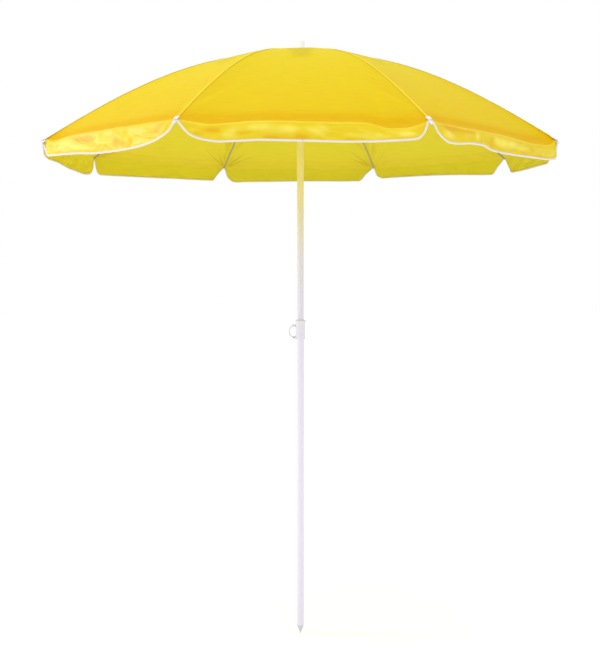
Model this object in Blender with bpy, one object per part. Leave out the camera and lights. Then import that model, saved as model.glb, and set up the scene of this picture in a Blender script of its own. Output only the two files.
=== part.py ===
"""Beach umbrella: two-part pole with a ring-pull height lock, eight ribs, stretchers, runner and canopy.

Metres, +Z up, origin at the point of the ground spike. Rib k stands at azimuth 22.5 + 45 k degrees.
"""
import math

import bmesh
import bpy
from mathutils import Matrix, Vector

# Overall sizes
RIM_R = 0.800            # canopy corner radius, at the rib tips
RIM_Z = 1.645            # height of the canopy corners
CROWN_RISE = 0.298       # canopy top above its corners
SHOULDER_R = 0.400       # rim radius share: first control point of the canopy curve
SHOULDER_RISE = 0.985    # its height as a share of CROWN_RISE
FLANK_R = 0.675          # second control point of the canopy curve, share of RIM_R
FLANK_RISE = 0.567       # its height as a share of CROWN_RISE
RIBS = 8
FIRST_RIB = math.pi / RIBS
STEP = 2.0 * math.pi / RIBS

# Poles
LOWER_R, UPPER_R, WALL = 0.0125, 0.0110, 0.0012
SLIDE_GAP = 0.0003       # radial gap between sliding tubes
UPPER_BOTTOM = 0.940
LOWER_TOP = 1.060
SPIKE_H = 0.030
SPIKE_TIP_R = 0.0015
SPIKE_SHOULDER_R, SPIKE_SHOULDER_Z = 0.92, 0.86   # shares of the pole radius and of SPIKE_H
PLUG_H = 0.030
BUSH_RIM, BUSH_EDGE, BUSH_PLUG = 0.0120, 0.0010, 0.018

# Height lock
COLLAR_BOTTOM, COLLAR_TOP = 1.024, 1.088
COLLAR_R = LOWER_R + 0.0035
COLLAR_LIP_R, COLLAR_LIP_H = COLLAR_R + 0.0015, 0.008
COLLAR_BEAD, COLLAR_BEAD_H = 0.0004, 0.006   # slight swelling round the collar's lower edge
COLLAR_EDGE = 0.0015
PIN_Z, PIN_R, PIN_TIP = 1.069, 0.0025, 0.0090
PIN_HOLE_COLLAR, PIN_HOLE_TUBE = 0.0041, 0.0034
DETENTS, PITCH = 7, 0.035
RING_HINGE = (-COLLAR_R - 0.0055, 1.0300)
RING_REACH = COLLAR_R + 0.0240   # outermost point of the ring from the pole axis
RING_T, RING_W, RING_CORNER = 0.0046, 0.0076, 0.0014
RING_STEPS = 12
BOSS_R, BOSS_BACK = 0.0046, 0.0062           # boss on the ring that holds the lock pin
BOSS_GAP, BOSS_WALL = 0.0008, 0.0012
PIN_EDGE = 0.0008
KNUCKLE_R, HINGE_PIN_R, HINGE_GAP = 0.0034, 0.0014, 0.0003
EAR_T, EAR_GAP, EAR_ROOT = 0.0024, 0.0005, 0.0024
PIN_HEAD_R, PIN_HEAD_T = 0.00224, 0.0009

# Crown
PIVOT_R = 0.0190         # rib hinge circle and runner pivot circle
CLOTH_T = 0.0010
ROD_GAP = 0.0005         # air between rib and cloth
RIB_R = 0.0018
HUB_R, HUB_H = PIVOT_R + 0.0045, 0.0110
POLE_TOP_DROP = 0.0030   # pole end below the rib hinges
HUB_SLOT = 0.0040
HUB_LIP, HUB_EDGE = 0.0022, 0.004            # top above the hinge circle; chamfer under the rim
SLOT_ROOM = 0.0012                           # slot beyond a rib's eye
WIRE_R = 0.0008
EYE_R, EYE_T, EYE_HOLE = 0.0026, 0.0024, 0.0013
FINIAL_H, FINIAL_R, FINIAL_FLANGE_R = 0.0495, 0.0138, 0.0175
FINIAL_LIFT, FINIAL_PLUG = 0.0012, 0.022     # flange above the cloth; plug down inside the pole
FINIAL_DOME = 0.62                           # dome height as a share of FINIAL_R

# Rib to stretcher linkage
ARM = 0.280              # crown hinge to stretcher pivot, and stretcher length
PIVOT_DROP = 0.0060      # stretcher pivot below the rib's centreline
STRETCHER_R = 0.0015
STRETCHER_EYE_HOLE = 0.0010
LUG_T, LUG_R, LUG_ROOT = 0.0020, 0.0034, 0.005
EYE_NECK, EYE_TAIL = 0.0013, 0.0080          # half height and length of a stretcher's flat end
FORK_BACK, FORK_TAIL, FORK_NECK = 0.0065, 0.0050, 0.0017
FORK_OPEN = 0.006                            # half height of the cut between the cheeks
CROSS = 0.01                                 # half length of a drill through a rib or stretcher
CHEEK_T, CHEEK_GAP, CHEEK_R = 0.0012, 0.00035, 0.0032
RIVET_R, RIVET_HEAD_R, RIVET_HEAD_T = 0.0010, 0.0021, 0.0009
CAP_R, CAP_L, CAP_BACK = 0.0027, 0.0140, 0.0030
ROD_OUT = 0.0085         # rib end beyond the canopy corner

# Runner
RUNNER_R, RUNNER_DOWN, RUNNER_UP = 0.0138, 0.034, 0.008
RUNNER_FLANGE_R, RUNNER_FLANGE_H = PIVOT_R + 0.0045, 0.008
RUNNER_SLOT_R = PIVOT_R - EYE_R - 0.0014     # floor of the slots for the stretchers
RUNNER_BEAD, RUNNER_BEAD_H = 0.0008, 0.005
RUNNER_CONE = 0.003                          # cone under the flange
SLOT_HALF = 0.014

# Canopy panels
VALANCE = 0.055          # depth of the hanging flap
SWEEP = 0.075            # length over which the flap's corner is rounded
CORNER_DEPTH = 0.006
PANEL_SAG = 0.006
SAG_FROM = 0.20          # radius inside which the cloth has no sag
SEAM_GAP, FLAP_GAP = 0.0004, 0.0032
FOLD_OUT, FOLD_DROP = 0.0012, 0.0015         # flap beyond and below the rim fold
HUB_HOLE_R = 0.0130
ACROSS, ALONG, DOWN = 10, 9, 2

ROUND = 32               # facets round a tube


def material(name, colour, metallic=0.0, roughness=0.5):
    m = bpy.data.materials.new(name)
    m.use_nodes = True
    b = m.node_tree.nodes["Principled BSDF"]
    b.inputs["Base Color"].default_value = (*colour, 1.0)
    b.inputs["Metallic"].default_value = metallic
    b.inputs["Roughness"].default_value = roughness
    return m


PAINT = (0.80, 0.79, 0.84)
STEEL = (0.62, 0.62, 0.64)
WHITE = (0.86, 0.86, 0.88)
CLOTH = (0.90, 0.72, 0.05)


def add(name, bm, colour, metallic=0.0, roughness=0.5, origin=(0.0, 0.0, 0.0)):
    """Finish a bmesh as a named object whose origin is at the given point."""
    bmesh.ops.recalc_face_normals(bm, faces=bm.faces)
    bmesh.ops.translate(bm, verts=bm.verts, vec=-Vector(origin))
    me = bpy.data.meshes.new(name)
    bm.to_mesh(me)
    bm.free()
    me.materials.append(material(name + "_mat", colour, metallic, roughness))
    ob = bpy.data.objects.new(name, me)
    ob.location = origin
    bpy.context.scene.collection.objects.link(ob)
    return ob


def lathe(profile, segments=ROUND, closed=True):
    """Turn a list of (radius, height) about Z. A radius of zero makes a pole point."""
    bm = bmesh.new()
    rings = []
    for r, z in profile:
        if r == 0.0:
            rings.append([bm.verts.new((0.0, 0.0, z))])
        else:
            rings.append([bm.verts.new((r * math.cos(a), r * math.sin(a), z))
                          for a in (2.0 * math.pi * i / segments for i in range(segments))])
    pairs = list(zip(rings, rings[1:]))
    if closed:
        pairs.append((rings[-1], rings[0]))
    for a, b in pairs:
        for i in range(segments):
            j = (i + 1) % segments
            if len(a) == 1 and len(b) == 1:
                continue
            if len(a) == 1:
                bm.faces.new((a[0], b[i], b[j]))
            elif len(b) == 1:
                bm.faces.new((a[i], b[0], a[j]))
            else:
                bm.faces.new((a[i], b[i], b[j], a[j]))
    bmesh.ops.recalc_face_normals(bm, faces=bm.faces)
    return bm


def tube(r_out, r_in, z0, z1, segments=ROUND):
    return lathe([(r_in, z0), (r_out, z0), (r_out, z1), (r_in, z1)], segments)


def rod(p, q, r, segments=16):
    """Solid round bar from p to q."""
    p, q = Vector(p), Vector(q)
    bm = lathe([(0.0, 0.0), (r, 0.0), (r, (q - p).length),
                (0.0, (q - p).length)], segments, closed=False)
    turn = Vector((0.0, 0.0, 1.0)).rotation_difference(q - p).to_matrix().to_4x4()
    bmesh.ops.transform(bm, matrix=Matrix.Translation(p) @ turn, verts=bm.verts)
    return bm


def box(lo, hi):
    bm = bmesh.new()
    bmesh.ops.create_cube(bm, size=1.0)
    size = [h - l for l, h in zip(lo, hi)]
    mid = [(h + l) / 2.0 for l, h in zip(lo, hi)]
    bmesh.ops.scale(bm, vec=size, verts=bm.verts)
    bmesh.ops.translate(bm, vec=mid, verts=bm.verts)
    return bm


def sweep(path, r, segments=8):
    """Round bar along points that lie in the XZ plane, with flat ends."""
    bm = bmesh.new()
    rings = []
    for i, p in enumerate(path):
        a = path[max(i - 1, 0)]
        b = path[min(i + 1, len(path) - 1)]
        t = (Vector(b) - Vector(a)).normalized()
        n = Vector((-t.z, 0.0, t.x))
        rings.append([bm.verts.new(Vector(p) + r * (math.cos(w) * n + math.sin(w) * Vector((0.0, 1.0, 0.0))))
                      for w in (2.0 * math.pi * k / segments for k in range(segments))])
    for a, b in zip(rings, rings[1:]):
        for k in range(segments):
            j = (k + 1) % segments
            bm.faces.new((a[k], b[k], b[j], a[j]))
    bm.faces.new(rings[0])
    bm.faces.new(rings[-1])
    bmesh.ops.recalc_face_normals(bm, faces=bm.faces)
    return bm


def plate(outline, half):
    """Flat plate in the XZ plane, from y = -half to y = +half."""
    bm = bmesh.new()
    lo = [bm.verts.new((x, -half, z)) for x, z in outline]
    hi = [bm.verts.new((x, half, z)) for x, z in outline]
    bm.faces.new(lo)
    bm.faces.new(hi)
    for i in range(len(outline)):
        j = (i + 1) % len(outline)
        bm.faces.new((lo[i], lo[j], hi[j], hi[i]))
    bmesh.ops.recalc_face_normals(bm, faces=bm.faces)
    return bm


def close_slivers(bm):
    """Fill the needle-thin triangles that welding can leave open along a cut."""
    open_edges = [e for e in bm.edges if len(e.link_faces) == 1]
    if open_edges:
        bmesh.ops.holes_fill(bm, edges=open_edges, sides=6)
    return bm


def boolean(base, parts, operation):
    """Exact boolean of one bmesh with a list of others, all consumed."""
    def temp(bm):
        bmesh.ops.recalc_face_normals(bm, faces=bm.faces)
        me = bpy.data.meshes.new("tmp")
        bm.to_mesh(me)
        bm.free()
        ob = bpy.data.objects.new("tmp", me)
        bpy.context.scene.collection.objects.link(ob)
        return ob
    ob = temp(base)
    cutters = []
    for part in parts:
        c = temp(part)
        c.hide_render = True
        c.display_type = "WIRE"
        m = ob.modifiers.new("cut", "BOOLEAN")
        m.operation, m.solver, m.object = operation, "EXACT", c
        cutters.append(c)
    deps = bpy.context.evaluated_depsgraph_get()
    me = bpy.data.meshes.new_from_object(ob.evaluated_get(deps))
    out = bmesh.new()
    out.from_mesh(me)
    for o in [ob] + cutters:
        old = o.data
        bpy.data.objects.remove(o)
        bpy.data.meshes.remove(old)
    bpy.data.meshes.remove(me)
    bmesh.ops.remove_doubles(out, verts=out.verts, dist=1e-6)
    return close_slivers(out)


def turned(bm, k):
    """Copy of a bmesh turned from the XZ plane to rib azimuth k."""
    out = bm.copy()
    bmesh.ops.rotate(out, verts=out.verts, cent=(0.0, 0.0, 0.0),
                     matrix=Matrix.Rotation(FIRST_RIB + k * STEP, 3, "Z"))
    return out


def at_rib(x, z, k):
    a = FIRST_RIB + k * STEP
    return (x * math.cos(a), x * math.sin(a), z)


# ---------------------------------------------------------------- canopy curve and linkage

def bezier(t):
    """Outer face of the canopy along a rib: radius, height, and unit tangent."""
    pts = [(HUB_HOLE_R, CROWN_RISE), (SHOULDER_R * RIM_R, SHOULDER_RISE * CROWN_RISE),
           (FLANK_R * RIM_R, FLANK_RISE * CROWN_RISE), (RIM_R, 0.0)]
    s = 1.0 - t
    w = (s ** 3, 3 * s * s * t, 3 * s * t * t, t ** 3)
    d = (-3 * s * s, 3 * s * s - 6 * s * t, 6 * s * t - 3 * t * t, 3 * t * t)
    r = sum(a * p[0] for a, p in zip(w, pts))
    z = sum(a * p[1] for a, p in zip(w, pts))
    dr = sum(a * p[0] for a, p in zip(d, pts))
    dz = sum(a * p[1] for a, p in zip(d, pts))
    n = math.hypot(dr, dz)
    return r, RIM_Z + z, dr / n, dz / n


def rib_line(steps):
    """Centreline of a rib below the cloth, from the crown hinge to the rod's end."""
    off = CLOTH_T + ROD_GAP + RIB_R
    line = []
    for i in range(steps * 4 + 1):
        r, z, dr, dz = bezier(i / (steps * 4))
        line.append(Vector((r + off * dz, 0.0, z - off * dr)))
    start = next(p for p in line if p.x > PIVOT_R)
    line = [p for p in line if p.x > HUB_R + 0.004][:: 4]
    r, z, dr, dz = bezier(1.0)
    line.append(Vector((r + off * dz, 0.0, z - off * dr)))
    line.append(line[-1] + ROD_OUT * Vector((dr, 0.0, dz)))
    hinge = Vector((PIVOT_R, 0.0, start.z))
    return hinge, line


RIB_STEPS = 12
CROWN_PIVOT, RIB_PATH = rib_line(RIB_STEPS)


def stretcher_pivot():
    """Point ARM away from the crown hinge, PIVOT_DROP under the rib's centreline."""
    for a, b in zip(RIB_PATH, RIB_PATH[1:]):
        n = Vector((b.z - a.z, 0.0, a.x - b.x)).normalized()
        p, q = a + PIVOT_DROP * n, b + PIVOT_DROP * n
        if (p - CROWN_PIVOT).length <= ARM <= (q - CROWN_PIVOT).length:
            lo, hi = 0.0, 1.0
            for _ in range(50):
                m = (lo + hi) / 2.0
                if (p.lerp(q, m) - CROWN_PIVOT).length < ARM:
                    lo = m
                else:
                    hi = m
            return p.lerp(q, lo), n
    raise ValueError("ARM is longer than the rib")


PIVOT, RIB_NORMAL = stretcher_pivot()
RUNNER_PIVOT = Vector((PIVOT_R, 0.0, 2.0 * PIVOT.z - CROWN_PIVOT.z))


# ---------------------------------------------------------------- pole and lock

def lower_pole():
    add("lower_pole", tube(LOWER_R, LOWER_R - WALL, SPIKE_H + SLIDE_GAP, LOWER_TOP), PAINT, 0.2, 0.35)


def ground_spike():
    inner = LOWER_R - WALL - SLIDE_GAP
    add("ground_spike", lathe([
        (0.0, 0.0), (SPIKE_TIP_R, 0.0),
        (LOWER_R * SPIKE_SHOULDER_R, SPIKE_H * SPIKE_SHOULDER_Z), (LOWER_R, SPIKE_H),
        (inner, SPIKE_H), (inner, SPIKE_H + PLUG_H), (0.0, SPIKE_H + PLUG_H)], closed=False),
        STEEL, 0.6, 0.45)


def height_collar():
    """Stepped sleeve on the lower pole's top, with a pin hole and two ears for the ring."""
    lip = COLLAR_TOP - COLLAR_LIP_H
    seat = LOWER_TOP + SLIDE_GAP
    r_low, r_high = LOWER_R + SLIDE_GAP, UPPER_R + SLIDE_GAP
    body = lathe([
        (r_low, COLLAR_BOTTOM), (COLLAR_R, COLLAR_BOTTOM),
        (COLLAR_R + COLLAR_BEAD, COLLAR_BOTTOM + COLLAR_BEAD_H / 2.0),
        (COLLAR_R, COLLAR_BOTTOM + COLLAR_BEAD_H), (COLLAR_R, lip - 0.002), (COLLAR_LIP_R, lip),
        (COLLAR_LIP_R, COLLAR_TOP - COLLAR_EDGE), (COLLAR_LIP_R - COLLAR_EDGE, COLLAR_TOP), (r_high, COLLAR_TOP),
        (r_high, seat), (r_low, seat)])
    hx, hz = RING_HINGE
    inner = RING_W / 2.0 + EAR_GAP + HINGE_GAP
    ears = []
    for side in (-1.0, 1.0):
        y0, y1 = sorted((side * inner, side * (inner + EAR_T)))
        outline = [(-COLLAR_R + EAR_ROOT, hz - KNUCKLE_R)]
        outline += [(hx - KNUCKLE_R * math.sin(a), hz - KNUCKLE_R * math.cos(a))
                    for a in (math.pi * i / 8 for i in range(9))]
        outline.append((-COLLAR_R + EAR_ROOT, hz + KNUCKLE_R))
        ear = plate(outline, EAR_T / 2.0)
        bmesh.ops.translate(ear, verts=ear.verts, vec=(0.0, (y0 + y1) / 2.0, 0.0))
        ears.append(ear)
    body = boolean(body, ears, "UNION")
    reach = inner + EAR_T + 0.002
    holes = [rod((-COLLAR_LIP_R - 0.004, 0.0, PIN_Z), (0.0, 0.0, PIN_Z), PIN_HOLE_COLLAR, 20),
             rod((hx, -reach, hz), (hx, reach, hz), HINGE_PIN_R + HINGE_GAP, 16)]
    add("height_collar", boolean(body, holes, "DIFFERENCE"), WHITE, 0.0, 0.4)


def ring_hinge_pin():
    hx, hz = RING_HINGE
    half = RING_W / 2.0 + EAR_GAP + EAR_T + HINGE_GAP
    neck = half + HINGE_GAP
    tip = neck + PIN_HEAD_T
    pin = lathe([(0.0, -tip), (PIN_HEAD_R, -tip), (PIN_HEAD_R, -neck), (HINGE_PIN_R, -neck),
                 (HINGE_PIN_R, neck), (PIN_HEAD_R, neck), (PIN_HEAD_R, tip), (0.0, tip)], 16, closed=False)
    bmesh.ops.rotate(pin, verts=pin.verts, cent=(0, 0, 0), matrix=Matrix.Rotation(math.pi / 2.0, 3, "X"))
    bmesh.ops.translate(pin, verts=pin.verts, vec=(hx, 0.0, hz))
    add("ring_hinge_pin", pin, STEEL, 0.9, 0.3)


def ring_section(half_t, half_w, corner, steps=2):
    """Rounded rectangle as (across, along Y)."""
    pts = []
    for cx, cy, a0 in ((1, 1, 0.0), (-1, 1, 0.5), (-1, -1, 1.0), (1, -1, 1.5)):
        for i in range(steps + 1):
            a = math.pi * (a0 + 0.5 * i / steps)
            pts.append((cx * (half_t - corner) + corner * math.cos(a),
                        cy * (half_w - corner) + corner * math.sin(a)))
    return pts


def lock_ring():
    """Open hoop from the hinge knuckle round to the boss that carries the pin."""
    hx, hz = RING_HINGE
    cx = hx
    cz = (PIN_Z + hz) / 2.0
    rx = RING_REACH + cx - RING_T / 2.0
    rz = (PIN_Z - hz) / 2.0
    bm = bmesh.new()
    rings = []
    for i in range(RING_STEPS + 1):
        a = -math.pi / 2.0 - math.pi * i / RING_STEPS
        p = Vector((cx + rx * math.cos(a), 0.0, cz + rz * math.sin(a)))
        t = Vector((rx * math.sin(a), 0.0, -rz * math.cos(a))).normalized()
        n = Vector((-t.z, 0.0, t.x))
        rings.append([bm.verts.new(p + u * n + v * Vector((0.0, 1.0, 0.0)))
                      for u, v in ring_section(RING_T / 2.0, RING_W / 2.0, RING_CORNER)])
    count = len(rings[0])
    for a, b in zip(rings, rings[1:]):
        for k in range(count):
            j = (k + 1) % count
            bm.faces.new((a[k], b[k], b[j], a[j]))
    bm.faces.new(rings[0])
    bm.faces.new(rings[-1])
    half = RING_W / 2.0 + HINGE_GAP
    knuckle = rod((hx, -half, hz), (hx, half, hz), KNUCKLE_R, 24)
    boss = rod((cx - BOSS_BACK, 0.0, PIN_Z), (-COLLAR_LIP_R - BOSS_GAP, 0.0, PIN_Z), BOSS_R, 24)
    body = boolean(bm, [knuckle, boss], "UNION")
    reach = RING_W
    cuts = [rod((hx, -reach, hz), (hx, reach, hz), HINGE_PIN_R + HINGE_GAP, 16),
            rod((cx - BOSS_BACK + BOSS_WALL, 0.0, PIN_Z), (0.0, 0.0, PIN_Z), PIN_R + SLIDE_GAP, 20)]
    add("lock_ring", boolean(body, cuts, "DIFFERENCE"), WHITE, 0.0, 0.35, (hx, 0.0, hz))


def lock_pin():
    hx, hz = RING_HINGE
    length = BOSS_BACK - BOSS_WALL - SLIDE_GAP - hx - PIN_TIP
    pin = lathe([(0.0, 0.0), (PIN_R - PIN_EDGE, 0.0), (PIN_R, PIN_EDGE), (PIN_R, length), (0.0, length)],
                20, closed=False)
    bmesh.ops.rotate(pin, verts=pin.verts, cent=(0, 0, 0), matrix=Matrix.Rotation(-math.pi / 2.0, 3, "Y"))
    bmesh.ops.translate(pin, verts=pin.verts, vec=(-PIN_TIP, 0.0, PIN_Z))
    add("lock_pin", pin, STEEL, 0.9, 0.3, (hx, 0.0, hz))


def upper_pole():
    body = tube(UPPER_R, UPPER_R - WALL, UPPER_BOTTOM, CROWN_PIVOT.z - POLE_TOP_DROP)
    holes = [rod((-UPPER_R - 0.002, 0.0, PIN_Z + k * PITCH), (0.0, 0.0, PIN_Z + k * PITCH), PIN_HOLE_TUBE, 16)
             for k in range(DETENTS)]
    add("upper_pole", boolean(body, holes, "DIFFERENCE"), PAINT, 0.2, 0.35)


def pole_bush():
    inner = UPPER_R - WALL - SLIDE_GAP
    top = UPPER_BOTTOM - SLIDE_GAP
    low = top - BUSH_RIM
    add("pole_bush", lathe([
        (0.0, low), (UPPER_R - BUSH_EDGE, low), (UPPER_R, low + BUSH_EDGE), (UPPER_R, top), (inner, top),
        (inner, UPPER_BOTTOM + BUSH_PLUG), (0.0, UPPER_BOTTOM + BUSH_PLUG)], closed=False), WHITE, 0.0, 0.6)


# ---------------------------------------------------------------- crown

def slotted(body, slot_w, r_from, r_to, z0, z1):
    cuts = []
    for k in range(RIBS):
        cut = box((r_from, -slot_w / 2.0, z0), (r_to, slot_w / 2.0, z1))
        bmesh.ops.rotate(cut, verts=cut.verts, cent=(0, 0, 0),
                         matrix=Matrix.Rotation(FIRST_RIB + k * STEP, 3, "Z"))
        cuts.append(cut)
    return boolean(body, cuts, "DIFFERENCE")


def crown_hub():
    """Slotted plastic crown with a groove, open upwards, for the wire ring."""
    top = CROWN_PIVOT.z + HUB_LIP
    low = top - HUB_H
    groove = WIRE_R + SLIDE_GAP
    floor = CROWN_PIVOT.z - groove
    bore = UPPER_R + SLIDE_GAP
    body = lathe([
        (bore, low), (HUB_R - HUB_EDGE, low), (HUB_R, low + HUB_EDGE), (HUB_R, top), (PIVOT_R + groove, top),
        (PIVOT_R + groove, floor), (PIVOT_R - groove, floor), (PIVOT_R - groove, top), (bore, top)], 32)
    add("crown_hub", slotted(body, HUB_SLOT, PIVOT_R - EYE_R - SLOT_ROOM, HUB_R + CROSS, low - CROSS, top + CROSS),
        WHITE, 0.0, 0.5)


def crown_wire_ring():
    profile = [(PIVOT_R + WIRE_R * math.cos(a), CROWN_PIVOT.z + WIRE_R * math.sin(a))
               for a in (2.0 * math.pi * i / 8 for i in range(8))]
    add("crown_wire_ring", lathe(profile, 40), STEEL, 1.0, 0.25)


def finial_cap():
    base = RIM_Z + CROWN_RISE + FINIAL_LIFT
    top = base + FINIAL_H
    spigot = UPPER_R - WALL - SLIDE_GAP
    dome = [(FINIAL_R * 0.97 * math.cos(a), top - FINIAL_R * FINIAL_DOME * (1.0 - math.sin(a)))
            for a in (math.pi / 2.0 * i / 6 for i in range(6))]
    add("finial_cap", lathe([
        (0.0, base - FINIAL_PLUG), (spigot, base - FINIAL_PLUG), (spigot, base), (FINIAL_FLANGE_R, base),
        (FINIAL_FLANGE_R, base + 0.0025), (FINIAL_FLANGE_R - 0.0015, base + 0.004),
        (FINIAL_R + SLIDE_GAP, base + 0.006), (FINIAL_R, base + 0.012)] + dome + [(0.0, top)], closed=False),
        WHITE, 0.0, 0.35)


# ---------------------------------------------------------------- ribs and stretchers

def disc_outline(cx, cz, r, a0, a1, steps=8):
    return [(cx + r * math.cos(a), cz + r * math.sin(a))
            for a in (a0 + (a1 - a0) * i / steps for i in range(steps + 1))]


def drill(p, r, segments):
    """Cutter across the linkage plane at point p."""
    return rod((p.x, -CROSS, p.z), (p.x, CROSS, p.z), r, segments)


def rib_mesh():
    """Flat eye at the crown, round rod along the canopy curve, and a lug for the stretcher."""
    rod_part = sweep(RIB_PATH, RIB_R)
    start = RIB_PATH[0]
    eye = plate(disc_outline(CROWN_PIVOT.x, CROWN_PIVOT.z, EYE_R, math.pi * 0.3, math.pi * 1.7)
                + [(start.x + 0.005, start.z - RIB_R * 0.85), (start.x + 0.005, start.z + RIB_R * 0.85)], EYE_T / 2.0)
    n = RIB_NORMAL
    t = Vector((n.z, 0.0, -n.x))
    ang = math.atan2(n.z, n.x)
    top = PIVOT - n * PIVOT_DROP
    arc = disc_outline(PIVOT.x, PIVOT.z, LUG_R, ang - math.pi / 2.0, ang + math.pi / 2.0)
    p0, p1 = top + t * LUG_ROOT, top - t * LUG_ROOT
    ends = [(p0.x, p0.z), (p1.x, p1.z)]
    if (Vector((arc[-1][0], 0, arc[-1][1])) - p0).length > (Vector((arc[-1][0], 0, arc[-1][1])) - p1).length:
        ends.reverse()
    lug = plate(arc + ends, LUG_T / 2.0)
    body = boolean(rod_part, [eye, lug], "UNION")
    holes = [drill(CROWN_PIVOT, EYE_HOLE, 10), drill(PIVOT, RIVET_R + HINGE_GAP, 10)]
    return boolean(body, holes, "DIFFERENCE")


def in_plane(*points):
    return [(p.x, p.z) for p in points]


def stretcher_mesh():
    """Round bar with a fork round the rib's lug and a flat eye in the runner."""
    d = (RUNNER_PIVOT - PIVOT).normalized()
    base = PIVOT + d * FORK_BACK
    bar = rod(base + d * 0.002, RUNNER_PIVOT - d * (EYE_TAIL - 0.002), STRETCHER_R, 8)
    eye_start = RUNNER_PIVOT - d * EYE_TAIL
    ang = math.atan2(d.z, d.x)
    n = Vector((-d.z, 0.0, d.x))
    eye = plate(disc_outline(RUNNER_PIVOT.x, RUNNER_PIVOT.z, EYE_R, ang - math.pi * 0.62, ang + math.pi * 0.62)
                + in_plane(eye_start + n * EYE_NECK, eye_start - n * EYE_NECK), EYE_T / 2.0)
    half = LUG_T / 2.0 + CHEEK_GAP + CHEEK_T
    tail = base + d * FORK_TAIL
    solid = plate(disc_outline(PIVOT.x, PIVOT.z, CHEEK_R, ang + math.pi * 0.5, ang + math.pi * 1.5)
                  + in_plane(tail - n * FORK_NECK, tail + n * FORK_NECK), half)
    front, up = PIVOT - d * FORK_OPEN, n * FORK_OPEN
    gap = plate(in_plane(front + up, base + up, base - up, front - up), LUG_T / 2.0 + CHEEK_GAP)
    fork = boolean(solid, [drill(PIVOT, RIVET_R + HINGE_GAP, 10), gap], "DIFFERENCE")
    eye = boolean(eye, [drill(RUNNER_PIVOT, STRETCHER_EYE_HOLE, 8)], "DIFFERENCE")
    return boolean(bar, [fork, eye], "UNION")


def rivet_mesh():
    half = LUG_T / 2.0 + CHEEK_GAP + CHEEK_T + HINGE_GAP
    out = lathe([(0.0, -half - RIVET_HEAD_T), (RIVET_HEAD_R * 0.7, -half - RIVET_HEAD_T),
                 (RIVET_HEAD_R, -half), (RIVET_R, -half), (RIVET_R, half), (RIVET_HEAD_R, half),
                 (RIVET_HEAD_R * 0.7, half + RIVET_HEAD_T), (0.0, half + RIVET_HEAD_T)], 8, closed=False)
    bmesh.ops.rotate(out, verts=out.verts, cent=(0, 0, 0), matrix=Matrix.Rotation(math.pi / 2.0, 3, "X"))
    bmesh.ops.translate(out, verts=out.verts, vec=PIVOT)
    return out


def tip_cap_mesh():
    """Round-nosed cap over the rod's end, just outside the canopy corner."""
    end, before = RIB_PATH[-1], RIB_PATH[-2]
    d = (end - before).normalized()
    nose = [(CAP_R * math.cos(a), CAP_L - CAP_R * (1.0 - math.sin(a)))
            for a in (math.pi / 2.0 * i / 4 for i in range(4))]
    bore = RIB_R + SLIDE_GAP
    depth = ROD_OUT - CAP_BACK + SLIDE_GAP
    out = lathe([(0.0, depth), (bore, depth), (bore, 0.0), (CAP_R * 0.86, 0.0), (CAP_R, 0.0012)]
                + nose + [(0.0, CAP_L)], 12, closed=False)
    turn = Vector((0.0, 0.0, 1.0)).rotation_difference(d).to_matrix().to_4x4()
    bmesh.ops.transform(out, matrix=Matrix.Translation(before + d * CAP_BACK) @ turn, verts=out.verts)
    return out


def ribs_and_stretchers():
    rib, bar, rivet, cap = rib_mesh(), stretcher_mesh(), rivet_mesh(), tip_cap_mesh()
    for k in range(RIBS):
        hinge = at_rib(CROWN_PIVOT.x, CROWN_PIVOT.z, k)
        knee = at_rib(PIVOT.x, PIVOT.z, k)
        add(f"rib_{k + 1}", turned(rib, k), STEEL, 0.9, 0.35, hinge)
        add(f"stretcher_{k + 1}", turned(bar, k), STEEL, 0.9, 0.35, knee)
        add(f"rivet_{k + 1}", turned(rivet, k), STEEL, 1.0, 0.3, hinge)
        add(f"tip_cap_{k + 1}", turned(cap, k), WHITE, 0.0, 0.4, hinge)
    for bm in (rib, bar, rivet, cap):
        bm.free()


def runner():
    """Sleeve on the upper pole; its flange has a slot for every stretcher."""
    z = RUNNER_PIVOT.z
    bore = UPPER_R + SLIDE_GAP
    h = RUNNER_FLANGE_H / 2.0
    low = z - RUNNER_DOWN
    body = lathe([
        (bore, low), (RUNNER_R - RUNNER_BEAD, low), (RUNNER_R + RUNNER_BEAD, low + 0.0015),
        (RUNNER_R + RUNNER_BEAD, low + RUNNER_BEAD_H), (RUNNER_R, low + RUNNER_BEAD_H + 0.0015),
        (RUNNER_R, z - h - RUNNER_CONE), (RUNNER_FLANGE_R - 0.002, z - h),
        (RUNNER_FLANGE_R, z - h + 0.001), (RUNNER_FLANGE_R, z + h - 0.001), (RUNNER_FLANGE_R - 0.001, z + h),
        (RUNNER_R, z + h), (RUNNER_R, z + RUNNER_UP), (bore, z + RUNNER_UP)], 32)
    body = slotted(body, HUB_SLOT, RUNNER_SLOT_R, RUNNER_FLANGE_R + CROSS, z - SLOT_HALF, z + SLOT_HALF)
    add("runner", body, WHITE, 0.0, 0.5, (0.0, 0.0, z))


# ---------------------------------------------------------------- canopy

def flap_depth(along, width):
    """Depth of the hanging flap at a distance along the rim chord; both corners are rounded."""
    d = min(along, width - along)
    s = min(max(d / SWEEP, 0.0), 1.0)
    return CORNER_DEPTH + (VALANCE - CORNER_DEPTH) * math.sqrt(1.0 - (1.0 - s) ** 2)


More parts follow.
